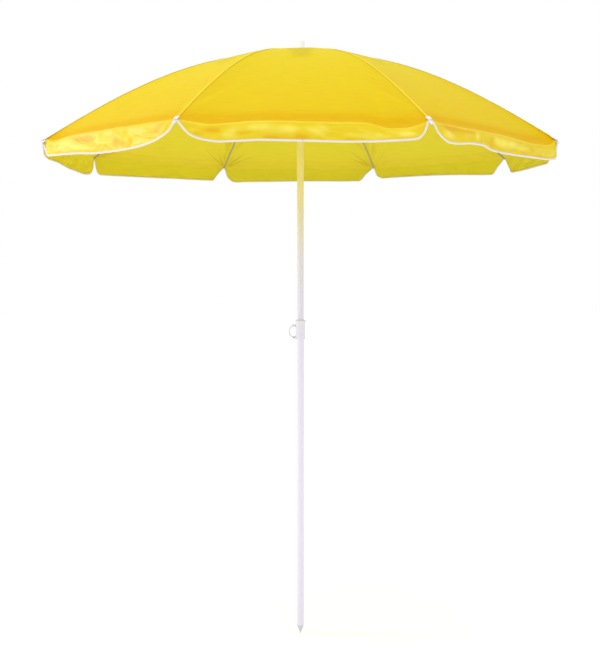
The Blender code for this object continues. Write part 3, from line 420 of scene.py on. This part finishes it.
def cloth_material(name, crown, middle, rim, flap, translucent, rough, specular=0.12, crush_depth=0.0020,
                   shade_colour=(0.80, 0.50, 0.008), shade_share=0.35, highlight_colour=(0.97, 0.86, 0.20), highlight_share=0.15,
                   creased=False):
    m = bpy.data.materials.new(name)
    nt, new, link = nodes_of(m)
    out = new("ShaderNodeOutputMaterial")
    mix = new("ShaderNodeMixShader")
    pr = new("ShaderNodeBsdfPrincipled")
    tr = new("ShaderNodeBsdfTranslucent")
    mix.inputs[0].default_value = translucent
    link(pr.outputs[0], mix.inputs[1])
    link(tr.outputs[0], mix.inputs[2])
    link(mix.outputs[0], out.inputs["Surface"])
    pr.inputs["Roughness"].default_value = rough
    pr.inputs["Specular IOR Level"].default_value = specular
    uv = new("ShaderNodeUVMap")
    uv.uv_map = "cloth"
    split = new("ShaderNodeSeparateXYZ")
    link(uv.outputs[0], split.inputs[0])
    ramp = new("ShaderNodeValToRGB")
    norm = new("ShaderNodeMath")
    norm.operation = "DIVIDE"
    norm.inputs[1].default_value = 0.95
    link(split.outputs["Y"], norm.inputs[0])
    link(norm.outputs[0], ramp.inputs[0])
    el = ramp.color_ramp.elements
    el[0].position, el[0].color = 0.0, (*crown, 1)
    el[1].position, el[1].color = 1.0, (*flap, 1)
    # painted shade: a darker orange band just above the fold into the flap, partly the double cloth of the
    # hem and partly the shade where the cloth sags in above the fold
    crease = tuple(c * f for c, f in zip(rim, (1.0, 0.84, 0.30))) if creased else rim
    for pos, col in ((0.45, middle), (0.875, rim), (0.928, crease), (0.9465, crease), (0.950, flap)):
        e = el.new(pos)
        e.color = (*col, 1)
    # slubs: thin threads across the gore, a little lighter or darker
    slub = new("ShaderNodeTexNoise")
    slub.inputs["Scale"].default_value = 1.0
    slub.inputs["Detail"].default_value = 3.0
    stretch = new("ShaderNodeMapping")
    stretch.inputs["Scale"].default_value = (14.0, 420.0, 1.0)
    link(uv.outputs[0], stretch.inputs[0])
    link(stretch.outputs[0], slub.inputs["Vector"])
    slub_map = new("ShaderNodeMapRange")
    slub_map.inputs["From Min"].default_value, slub_map.inputs["From Max"].default_value = 0.3, 0.7
    slub_map.inputs["To Min"].default_value, slub_map.inputs["To Max"].default_value = 0.95, 1.03
    link(slub.outputs["Fac"], slub_map.inputs["Value"])
    tint = new("ShaderNodeMix")
    tint.data_type, tint.blend_type = "RGBA", "MULTIPLY"
    tint.inputs[0].default_value = 1.0
    link(ramp.outputs[0], tint.inputs[6])
    link(slub_map.outputs[0], tint.inputs[7])
    # painted shade and highlight: the tone attribute mixes a darker colour into crease valleys and a paler
    # one onto ridges and satin sheen
    tone = new("ShaderNodeAttribute")
    tone.attribute_name = "painted_fold_shade_and_sheen"
    shade_map = new("ShaderNodeMapRange")
    shade_map.inputs["From Min"].default_value, shade_map.inputs["From Max"].default_value = 0.0, -0.8
    shade_map.inputs["To Max"].default_value = shade_share
    link(tone.outputs["Fac"], shade_map.inputs["Value"])
    highlight_map = new("ShaderNodeMapRange")
    highlight_map.inputs["From Min"].default_value, highlight_map.inputs["From Max"].default_value = 0.1, 0.9
    highlight_map.inputs["To Max"].default_value = highlight_share
    link(tone.outputs["Fac"], highlight_map.inputs["Value"])
    shade_mix = new("ShaderNodeMix")
    shade_mix.data_type = "RGBA"
    link(shade_map.outputs[0], shade_mix.inputs[0])
    link(tint.outputs[2], shade_mix.inputs[6])
    shade_mix.inputs[7].default_value = (*shade_colour, 1)
    highlight_mix = new("ShaderNodeMix")
    highlight_mix.data_type = "RGBA"
    link(highlight_map.outputs[0], highlight_mix.inputs[0])
    link(shade_mix.outputs[2], highlight_mix.inputs[6])
    highlight_mix.inputs[7].default_value = (*highlight_colour, 1)
    link(highlight_mix.outputs[2], pr.inputs["Base Color"])
    link(highlight_mix.outputs[2], tr.inputs["Color"])
    # plain weave
    weave = new("ShaderNodeTexWave")
    weave.wave_type, weave.bands_direction = "BANDS", "X"
    weave.inputs["Scale"].default_value = 260.0
    weave2 = new("ShaderNodeTexWave")
    weave2.wave_type, weave2.bands_direction = "BANDS", "Y"
    weave2.inputs["Scale"].default_value = 260.0
    for w in (weave, weave2):
        w.inputs["Distortion"].default_value = 0.6
        w.inputs["Detail"].default_value = 1.0
        link(uv.outputs[0], w.inputs["Vector"])
    cross = new("ShaderNodeMath")
    cross.operation = "MULTIPLY"
    link(weave.outputs["Fac"], cross.inputs[0])
    link(weave2.outputs["Fac"], cross.inputs[1])
    b1 = new("ShaderNodeBump")
    b1.inputs["Strength"].default_value = 0.18
    b1.inputs["Distance"].default_value = 0.0004
    link(cross.outputs[0], b1.inputs["Height"])
    crush = new("ShaderNodeTexNoise")
    crush.inputs["Scale"].default_value = 26.0
    crush.inputs["Detail"].default_value = 5.0
    crush.inputs["Distortion"].default_value = 0.6
    link(uv.outputs[0], crush.inputs["Vector"])
    b2 = new("ShaderNodeBump")
    b2.inputs["Strength"].default_value = 0.30
    b2.inputs["Distance"].default_value = crush_depth
    link(crush.outputs["Fac"], b2.inputs["Height"])
    link(b1.outputs[0], b2.inputs["Normal"])
    link(b2.outputs[0], pr.inputs["Normal"])
    link(b2.outputs[0], tr.inputs["Normal"])
    return m


def plain_material(name, colour, rough, metallic=0.0, grain=220.0, bump_d=0.00004, mottle=0.03, coat=0.0,
                   bounce_light=None, brushed=False):
    """Moulded plastic, powder coat or drawn wire: colour with a faint mottle, fine grain, rubbed patches, and
    if asked a painted light tint that grows with height.
    """
    m = bpy.data.materials.new(name)
    nt, new, link = nodes_of(m)
    out = new("ShaderNodeOutputMaterial")
    pr = new("ShaderNodeBsdfPrincipled")
    link(pr.outputs[0], out.inputs["Surface"])
    pr.inputs["Metallic"].default_value = metallic
    pr.inputs["Coat Weight"].default_value = coat
    co = new("ShaderNodeTexCoord")
    src = co.outputs["Object"]
    if brushed:
        mp = new("ShaderNodeMapping")
        mp.inputs["Scale"].default_value = (1.0, 1.0, 0.04)
        link(src, mp.inputs[0])
        src = mp.outputs[0]
    n = new("ShaderNodeTexNoise")
    n.inputs["Scale"].default_value = 18.0
    n.inputs["Detail"].default_value = 4.0
    link(src, n.inputs["Vector"])
    ramp = new("ShaderNodeMapRange")
    ramp.inputs["To Min"].default_value, ramp.inputs["To Max"].default_value = 1.0 - mottle, 1.0
    link(n.outputs["Fac"], ramp.inputs["Value"])
    mul = new("ShaderNodeMix")
    mul.data_type, mul.blend_type = "RGBA", "MULTIPLY"
    mul.inputs[0].default_value = 1.0
    mul.inputs[6].default_value = (*colour, 1)
    link(ramp.outputs[0], mul.inputs[7])
    col = mul.outputs[2]
    # painted light: a cream tint that grows with height, standing for yellow light bounced down from the
    # canopy
    if bounce_light is not None:
        z0, z1, tint = bounce_light
        sp = new("ShaderNodeSeparateXYZ")
        link(co.outputs["Object"], sp.inputs[0])
        mr = new("ShaderNodeMapRange")
        mr.inputs["From Min"].default_value, mr.inputs["From Max"].default_value = z0, z1
        mr.interpolation_type = "SMOOTHSTEP"
        link(sp.outputs["Z"], mr.inputs["Value"])
        mx = new("ShaderNodeMix")
        mx.data_type = "RGBA"
        link(mr.outputs[0], mx.inputs[0])
        link(col, mx.inputs[6])
        mx.inputs[7].default_value = (*tint, 1)
        col = mx.outputs[2]
    link(col, pr.inputs["Base Color"])
    rr = new("ShaderNodeMapRange")
    rr.inputs["To Min"].default_value, rr.inputs["To Max"].default_value = rough - 0.07, rough + 0.10
    link(n.outputs["Fac"], rr.inputs["Value"])
    link(rr.outputs[0], pr.inputs["Roughness"])
    g = new("ShaderNodeTexNoise")
    g.inputs["Scale"].default_value = grain
    g.inputs["Detail"].default_value = 2.0
    link(src, g.inputs["Vector"])
    b = new("ShaderNodeBump")
    b.inputs["Strength"].default_value = 0.35
    b.inputs["Distance"].default_value = bump_d
    link(g.outputs["Fac"], b.inputs["Height"])
    link(b.outputs[0], pr.inputs["Normal"])
    return m


def tape_material(name, colour):
    """Twill binding tape: ribs across its length on its own UVs."""
    m = plain_material(name, colour, 0.62, grain=400.0, bump_d=0.0001, mottle=0.05)
    nt = m.node_tree
    uv = nt.nodes.new("ShaderNodeUVMap")
    uv.uv_map = "tape"
    w = nt.nodes.new("ShaderNodeTexWave")
    w.bands_direction = "DIAGONAL"
    w.inputs["Scale"].default_value = 300.0
    nt.links.new(uv.outputs[0], w.inputs["Vector"])
    b = next(x for x in nt.nodes if x.bl_idname == "ShaderNodeBump")
    b2 = nt.nodes.new("ShaderNodeBump")
    b2.inputs["Strength"].default_value = 0.4
    b2.inputs["Distance"].default_value = 0.0002
    nt.links.new(w.outputs["Fac"], b2.inputs["Height"])
    nt.links.new(b.outputs[0], b2.inputs["Normal"])
    pr = next(x for x in nt.nodes if x.bl_idname == "ShaderNodeBsdfPrincipled")
    nt.links.new(b2.outputs[0], pr.inputs["Normal"])
    return m


# each cloth's last colours are a painted crease shade colour with its share and a painted highlight colour
# with its share
TOP_CLOTH = cloth_material("canopy_cloth_outside", (0.71, 0.625, 0.020), (0.73, 0.580, 0.009), (0.74, 0.545,
                                                                                                0.006),
                           (0.80, 0.58, 0.012), 0.30, 0.55, 0.06, 0.0020, (0.76, 0.49, 0.003), 0.75,
                           (0.84, 0.74, 0.05), 0.45, creased=True)
FLAP_CLOTH = cloth_material("canopy_flap_satin", (0.86, 0.66, 0.014), (0.86, 0.66, 0.014), (0.86, 0.66,
                                                                                            0.014),
                            (0.86, 0.67, 0.014), 0.32, 0.36, 0.30, 0.0026, (0.88, 0.50, 0.002), 0.80,
                            (0.96, 0.86, 0.17), 0.80)
UNDER_CLOTH = cloth_material("canopy_cloth_inside", (0.87, 0.83, 0.062), (0.87, 0.83, 0.062), (0.85, 0.81,
                                                                                               0.058),
                             (0.82, 0.80, 0.060), 0.50, 0.70, 0.10, 0.0020, (0.50, 0.40, 0.008), 0.75,
                             (0.92, 0.88, 0.08), 0.4)
TAPE = tape_material("edge_binding_tape", (0.74, 0.70, 0.69))
SEAM = cloth_material("canopy_seam_fold", (0.86, 0.78, 0.07), (0.90, 0.74, 0.05), (0.92, 0.72, 0.04),
                      (0.92, 0.72, 0.06), 0.20, 0.50)
THREAD = plain_material("sewing_thread", (0.80, 0.62, 0.05), 0.6, grain=900.0, bump_d=0.0001)
POLE_PAINT = plain_material("pole_powder_coat", (0.72, 0.70, 0.82), 0.34, grain=700.0, bump_d=0.00002,
                            mottle=0.012,
                            coat=0.15)
# painted light: from 1.22 m to 1.60 m up the upper pole a cream tint stands for yellow light bounced from the
# canopy
UPPER_PAINT = plain_material("upper_pole_powder_coat_painted_bounce", (0.68, 0.67, 0.79), 0.36, grain=700.0, bump_d=0.00002,
                             mottle=0.012, coat=0.15, bounce_light=(1.22, 1.60, (0.86, 0.75, 0.26)))
FINIAL_PLASTIC = plain_material("finial_white_plastic", (0.86, 0.88, 1.0), 0.36, grain=320.0, mottle=0.02)
WHITE_PLASTIC = plain_material("moulded_white_plastic", (0.70, 0.69, 0.81), 0.38, grain=320.0, mottle=0.03)
# painted shade: the spike is a darker grey than the white pole, standing for the shade on its downward-facing
# sides
SPIKE = plain_material("spike_plastic_painted_shade", (0.60, 0.60, 0.64), 0.45, grain=260.0, mottle=0.10,
                       bump_d=0.0001)
WIRE = plain_material("drawn_steel_wire", (0.42, 0.42, 0.46), 0.36, metallic=0.9, grain=500.0, mottle=0.12,
                      brushed=True)

# ------------------------------------------------------------------ camera and light
cam_data = bpy.data.cameras.new("camera")
cam_data.lens, cam_data.sensor_width, cam_data.sensor_fit = 46.77, 36.0, "AUTO"
cam = bpy.data.objects.new("camera", cam_data)
cam.location = (-0.0215, -2.889, 1.366)
cam.rotation_euler = (math.radians(83.45), 0.0, math.radians(-0.40))
scene.collection.objects.link(cam)
scene.camera = cam
scene.view_settings.view_transform = "Standard"

world = bpy.data.worlds.new("studio")
world.use_nodes = True
world.node_tree.nodes["Background"].inputs[0].default_value = (1.0, 1.0, 1.0, 1)
world.node_tree.nodes["Background"].inputs[1].default_value = 1.0
scene.world = world


def area(name, loc, target, size, power, colour=(1, 1, 1)):
    d = bpy.data.lights.new(name, "AREA")
    d.shape, d.size, d.energy, d.color = "DISK", size, power, colour
    o = bpy.data.objects.new(name, d)
    o.location = loc
    o.rotation_euler = (Vector(target) - Vector(loc)).to_track_quat("-Z", "Y").to_euler()
    scene.collection.objects.link(o)


area("side_softbox", (-3.6, 0.2, 2.3), (0, 0, 1.7), 0.9, 37, (1.0, 0.91, 0.78))
area("overhead_softbox", (-0.6, -0.9, 5.2), (0, 0, 1.6), 3.0, 62, (1.0, 1.0, 1.0))
area("front_softbox", (1.6, -5.0, 2.9), (0, 0, 1.6), 1.0, 12, (1.0, 0.99, 0.97))


def floor():
    me = bpy.data.meshes.new("studio_floor")
    s = 12.0
    me.from_pydata([(-s, -s, -0.0005), (s, -s, -0.0005), (s, s, -0.0005), (-s, s, -0.0005)], [], [(0, 1, 2,
                                                                                                   3)])
    m = bpy.data.materials.new("pale_floor")
    m.use_nodes = True
    b = m.node_tree.nodes["Principled BSDF"]
    b.inputs["Base Color"].default_value = (0.97, 0.97, 0.97, 1)
    b.inputs["Emission Color"].default_value = (1.0, 1.0, 1.0, 1)
    b.inputs["Emission Strength"].default_value = 0.10
    b.inputs["Roughness"].default_value = 0.9
    me.materials.append(m)
    ob = bpy.data.objects.new("studio_floor", me)
    scene.collection.objects.link(ob)


floor()

# ------------------------------------------------------------------ CAD nodes that stay
for name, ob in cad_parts.items():
    if name == "lower_pole":
        finish = POLE_PAINT
    elif name == "upper_pole":
        finish = UPPER_PAINT
    elif name == "ground_spike":
        finish = SPIKE
    elif name.startswith(("rib_", "stretcher_", "rivet_", "crown_wire", "lock_pin", "ring_hinge")):
        finish = WIRE
    elif name == "finial_cap":
        finish = FINIAL_PLASTIC
    else:
        finish = WHITE_PLASTIC
    ob.data.materials.clear()
    ob.data.materials.append(finish)

# ------------------------------------------------------------------ canopy
cloths = []
for i in range(RIBS):
    ob, grid = cloth_wedge(i)
    cloths.append((ob, grid))


def link_mesh(name, verts, faces, mats, uv=None, uv_name="cloth", index=None):
    me = bpy.data.meshes.new(name)
    me.from_pydata([tuple(map(float, v)) for v in verts], [], [tuple(map(int, f)) for f in faces])
    for m in mats:
        me.materials.append(m)
    me.polygons.foreach_set("use_smooth", np.ones(len(me.polygons), bool))
    if index is not None:
        me.polygons.foreach_set("material_index", index)
    if uv is not None:
        layer = me.uv_layers.new(name=uv_name)
        loops = np.array([l.vertex_index for l in me.loops])
        layer.data.foreach_set("uv", np.asarray(uv)[loops].reshape(-1))
    ob = bpy.data.objects.new(name, me)
    scene.collection.objects.link(ob)
    return ob


def strip(name, spine, side, out, width, thick, mats, uv_name, length_uv=True):
    """Closed rounded band along a spine; side is across the band and out is away from the cloth."""
    prof = [(-0.5, 0.0), (-0.46, 0.7), (-0.3, 1.0), (0.0, 1.08), (0.3, 1.0), (0.46, 0.7), (0.5, 0.0), (0.0,
                                                                                                       -0.15)]
    n, m = len(spine), len(prof)
    verts, uv = [], []
    run = np.concatenate([[0], np.cumsum(np.linalg.norm(np.diff(spine, axis=0), axis=1))])
    for j in range(n):
        for a, b in prof:
            verts.append(spine[j] + side[j] * a * width + out[j] * b * thick)
            uv.append((a * width, run[j]))
    faces = []
    for j in range(n - 1):
        for q in range(m):
            r = (q + 1) % m
            faces.append((j * m + q, j * m + r, (j + 1) * m + r, (j + 1) * m + q))
    faces.append(tuple(range(m - 1, -1, -1)))
    faces.append(tuple((n - 1) * m + q for q in range(m)))
    ob = link_mesh(name, verts, faces, mats, uv, uv_name)
    bm = bmesh.new()
    bm.from_mesh(ob.data)
    bmesh.ops.recalc_face_normals(bm, faces=bm.faces)
    bm.to_mesh(ob.data)
    bm.free()
    return ob


def binding(i, pts, g):
    """U-shaped tape folded over the flap's lower edge of the cloth round rib i."""
    edge, up = pts[-1], pts[-2]
    n = g[-1]
    t = np.gradient(edge, axis=0)
    t /= np.linalg.norm(t, axis=1, keepdims=True) + 1e-12
    down = np.cross(t, n)
    down /= np.linalg.norm(down, axis=1, keepdims=True) + 1e-12
    down *= np.sign((down * (edge - up)).sum(1, keepdims=True) + 1e-15)
    half = CLOTH_T / 2.0
    # outline of the folded tape: (towards the cloth, outwards)
    prof = [(-0.0048, half + 0.0002), (-0.0046, half + 0.0007), (-0.0024, half + 0.0009), (0.0002,
                                                                                           half + 0.0007),
            (0.0008, 0.0), (0.0002, -half - 0.0006), (-0.0016, -half - 0.0008), (-0.0030, -half - 0.0006),
            (-0.0032, -half - 0.0002)]
    base = edge - n * half
    m = len(prof)
    verts = np.stack([base + down * a + n * b for a, b in prof], 1).reshape(-1, 3)
    run = np.concatenate([[0], np.cumsum(np.linalg.norm(np.diff(edge, axis=0), axis=1))])
    acc = np.cumsum([0] + [math.hypot(prof[q + 1][0] - prof[q][0],
                                      prof[q + 1][1] - prof[q][1]) for q in range(m - 1)])
    uv = [(run[j], acc[q]) for j in range(len(edge)) for q in range(m)]
    faces = []
    for j in range(len(edge) - 1):
        for q in range(m):
            r = (q + 1) % m
            faces.append((j * m + q, (j + 1) * m + q, (j + 1) * m + r, j * m + r))
    faces.append(tuple(range(m)))
    faces.append(tuple((len(edge) - 1) * m + q for q in range(m - 1, -1, -1)))
    ob = link_mesh(f"edge_binding_{i + 1}", verts, faces, [TAPE], uv, "tape")
    bm = bmesh.new()
    bm.from_mesh(ob.data)
    bmesh.ops.recalc_face_normals(bm, faces=bm.faces)
    bm.to_mesh(ob.data)
    bm.free()
    return ob


def rib_seam(i, pts, g):
    """Felled seam along the rib: a low raised fold on the outside."""
    c = pts.shape[1] // 2
    lo = 3
    spine = pts[lo:ROWS_TOP, c] + g[lo:ROWS_TOP, c] * 0.0002
    t = np.gradient(spine, axis=0)
    t /= np.linalg.norm(t, axis=1, keepdims=True)
    n = g[lo:ROWS_TOP, c]
    side = np.cross(t, n)
    return strip(f"rib_seam_{i + 1}", spine, side, n, 0.0052, 0.0008, [SEAM], "cloth")


def corner_tab(i, pts, g):
    """Small white pocket sewn over the cloth's corner, where the rib's end is held."""
    c = pts.shape[1] // 2
    rows_used = slice(ROWS_TOP - 3, ROWS_TOP + 1)
    spine, n = pts[rows_used, c], g[rows_used, c].copy()
    n[-1] = n[-2]
    end = spine[-1] + (spine[-1] - spine[-2]) * 0.6
    spine = np.vstack([spine, end]) + np.vstack([n, n[-1]]) * 0.0010
    n = np.vstack([n, n[-1]])
    t = np.gradient(spine, axis=0)
    t /= np.linalg.norm(t, axis=1, keepdims=True)
    return strip(f"corner_tab_{i + 1}", spine, np.cross(t, n), n, 0.0110, 0.0010, [TAPE], "tape")


def stitch_tree():
    """Geometry nodes: short rounded stitches, evenly spaced along the edges of a mesh."""
    nt = bpy.data.node_groups.new("stitch_row", "GeometryNodeTree")
    face = nt.interface
    face.new_socket("Geometry", in_out="INPUT", socket_type="NodeSocketGeometry")
    for name, value in (("Spacing", 0.0036), ("Stitch length", 0.0027), ("Thread radius", 0.0003)):
        socket = face.new_socket(name, in_out="INPUT", socket_type="NodeSocketFloat")
        socket.default_value = value
    face.new_socket("Material", in_out="INPUT", socket_type="NodeSocketMaterial")
    face.new_socket("Geometry", in_out="OUTPUT", socket_type="NodeSocketGeometry")
    new, link = nt.nodes.new, nt.links.new
    given, result = new("NodeGroupInput"), new("NodeGroupOutput")
    curve_of, spaced = new("GeometryNodeMeshToCurve"), new("GeometryNodeResampleCurve")
    spaced.mode = "LENGTH"
    link(given.outputs["Geometry"], curve_of.inputs["Mesh"])
    link(curve_of.outputs["Curve"], spaced.inputs["Curve"])
    link(given.outputs["Spacing"], spaced.inputs["Length"])
    ball = new("GeometryNodeMeshUVSphere")
    ball.inputs["Segments"].default_value = 6
    ball.inputs["Rings"].default_value = 4
    ball.inputs["Radius"].default_value = 1.0
    half = new("ShaderNodeMath")
    half.operation = "MULTIPLY"
    half.inputs[1].default_value = 0.5
    link(given.outputs["Stitch length"], half.inputs[0])
    size = new("ShaderNodeCombineXYZ")
    link(given.outputs["Thread radius"], size.inputs["X"])
    link(given.outputs["Thread radius"], size.inputs["Y"])
    link(half.outputs[0], size.inputs["Z"])
    vary = new("FunctionNodeRandomValue")
    vary.inputs["Seed"].default_value = 7
    vary.inputs[2].default_value, vary.inputs[3].default_value = 0.88, 1.08
    scaled = new("ShaderNodeVectorMath")
    scaled.operation = "SCALE"
    link(size.outputs[0], scaled.inputs[0])
    link(vary.outputs[1], scaled.inputs["Scale"])
    along, turn = new("GeometryNodeInputTangent"), new("FunctionNodeAlignRotationToVector")
    turn.axis = "Z"
    link(along.outputs[0], turn.inputs["Vector"])
    copies = new("GeometryNodeInstanceOnPoints")
    link(spaced.outputs["Curve"], copies.inputs["Points"])
    link(ball.outputs["Mesh"], copies.inputs["Instance"])
    link(turn.outputs["Rotation"], copies.inputs["Rotation"])
    link(scaled.outputs[0], copies.inputs["Scale"])
    real, paint = new("GeometryNodeRealizeInstances"), new("GeometryNodeSetMaterial")
    link(copies.outputs["Instances"], real.inputs["Geometry"])
    link(real.outputs["Geometry"], paint.inputs["Geometry"])
    link(given.outputs["Material"], paint.inputs["Material"])
    link(paint.outputs["Geometry"], result.inputs["Geometry"])
    return nt


STITCHES = stitch_tree()
SOCKETS = {item.name: item.identifier for item in STITCHES.interface.items_tree if item.in_out == "INPUT"}


def stitched(name, lines, spacing, length):
    """Rows of stitches along the given lines, as one plain mesh."""
    me = bpy.data.meshes.new(name)
    edges, start = [], 0
    for line in lines:
        edges += [(start + j, start + j + 1) for j in range(len(line) - 1)]
        start += len(line)
    me.from_pydata(np.vstack(lines).tolist(), edges, [])
    ob = bpy.data.objects.new(name + "_line", me)
    scene.collection.objects.link(ob)
    mod = ob.modifiers.new("stitches", "NODES")
    mod.node_group = STITCHES
    mod[SOCKETS["Spacing"]] = spacing
    mod[SOCKETS["Stitch length"]] = length
    mod[SOCKETS["Thread radius"]] = 0.0003
    mod[SOCKETS["Material"]] = THREAD
    bpy.context.view_layer.update()
    deps = bpy.context.evaluated_depsgraph_get()
    out = bpy.data.meshes.new_from_object(ob.evaluated_get(deps))
    ob.modifiers.remove(mod)
    bpy.data.objects.remove(ob)
    out.name = name
    out.polygons.foreach_set("use_smooth", np.ones(len(out.polygons), bool))
    result = bpy.data.objects.new(name, out)
    scene.collection.objects.link(result)
    return result


def stitches(i, pts, g):
    """One row along the hem tape and one each side of the rib seam."""
    edge, up, n = pts[-1], pts[-2], g[-1]
    t = np.gradient(edge, axis=0)
    t /= np.linalg.norm(t, axis=1, keepdims=True) + 1e-12
    down = np.cross(t, n)
    down /= np.linalg.norm(down, axis=1, keepdims=True) + 1e-12
    down *= np.sign((down * (edge - up)).sum(1, keepdims=True) + 1e-15)
    hem = edge - n * CLOTH_T / 2.0 - down * 0.0036 + n * (CLOTH_T / 2.0 + 0.00090)
    c = pts.shape[1] // 2
    spine, n = pts[4:ROWS_TOP - 3, c], g[4:ROWS_TOP - 3, c]
    t = np.gradient(spine, axis=0)
    t /= np.linalg.norm(t, axis=1, keepdims=True)
    side = np.cross(t, n)
    rows_of = [spine + n * 0.00105 + side * off for off in (-0.0018, 0.0018)]
    return stitched(f"canopy_stitches_{i + 1}", [hem] + rows_of, 0.0036, 0.0027)


def crown_lap(i):
    """Cloth that laps under the next pieces near the crown, so no gap opens there when the ribs fold."""
    verts, faces, uv, index = [], [], [], []
    rise = np.linspace(0.03, 0.44, 40)
    for k, first in ((i, True), ((i - 1) % RIBS, False)):
        share = np.linspace(0.0, 1.0, 19)[None, :]
        wide = 0.50 + 0.40 * np.clip(1.12 - rise / 0.40, 0, 1)[:, None] ** 0.8
        s = 0.40 + (wide - 0.40) * share
        s = s if first else 1.0 - s[:, ::-1]
        t = np.broadcast_to(rise[:, None], s.shape)
        p, _ = top_sheet(k, s, t)
        n = np.cross(np.gradient(p, axis=0), np.gradient(p, axis=1))
        n /= np.linalg.norm(n, axis=-1, keepdims=True) + 1e-12
        outer, inner = p - n * (CLOTH_T + 0.0002), p - n * (CLOTH_T + 0.0005)
        start, count = len(verts), p.shape[0] * p.shape[1]
        verts += [*outer.reshape(-1, 3), *inner.reshape(-1, 3)]
        uv += 2 * np.stack([s * 2.0 * HALF, t * 0.90], -1).reshape(-1, 2).tolist()
        idx = start + np.arange(count).reshape(p.shape[:2])
        quads = np.stack([idx[:-1, :-1], idx[1:, :-1], idx[1:, 1:], idx[:-1, 1:]], -1).reshape(-1, 4)
        ring = np.concatenate([idx[0, :-1], idx[:-1, -1], idx[-1, :0:-1], idx[:0:-1, 0]])
        after = np.roll(ring, -1)
        faces += [*quads, *(quads[:, ::-1] + count), *np.stack([ring, after, after + count, ring + count],
                                                               -1)]
        index += [0] * len(quads) + [1] * (len(quads) + len(ring))
    return link_mesh(f"crown_lap_{i + 1}", verts, faces, [TOP_CLOTH, UNDER_CLOTH], uv, "cloth", index)


def flat_area(i):
    """Cloth cut for the piece round rib i: half of the gore and half of the flap on both of its sides."""
    r, z = curve(np.linspace(0.0, 1.0, 400))
    gore = (np.hypot(np.diff(r), np.diff(z)) * (r[1:] + r[:-1])).sum() * math.sin(STEP / 2.0)
    half = np.linspace(0.0, HALF, 200)
    before, after = through(DEPTHS[(i - 1) % RIBS], 2.0 * HALF - half), through(DEPTHS[i], half)
    return float(gore + (before.mean() + after.mean()) * HALF)


for i, (ob, (pts, g)) in enumerate(cloths):
    extras = [binding(i, pts, g), rib_seam(i, pts, g), corner_tab(i, pts, g), stitches(i, pts, g)]
    lap = crown_lap(i)
    for piece, keep in [(ob, CLOTH_KEEP), (lap, LAP_KEEP)] + [(extra, CLOTH_KEEP) for extra in extras]:
        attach(piece, f"rib_{i + 1}")
        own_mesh(piece)
    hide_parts(f"canopy_panel_{i + 1}")
    flat_area(i)
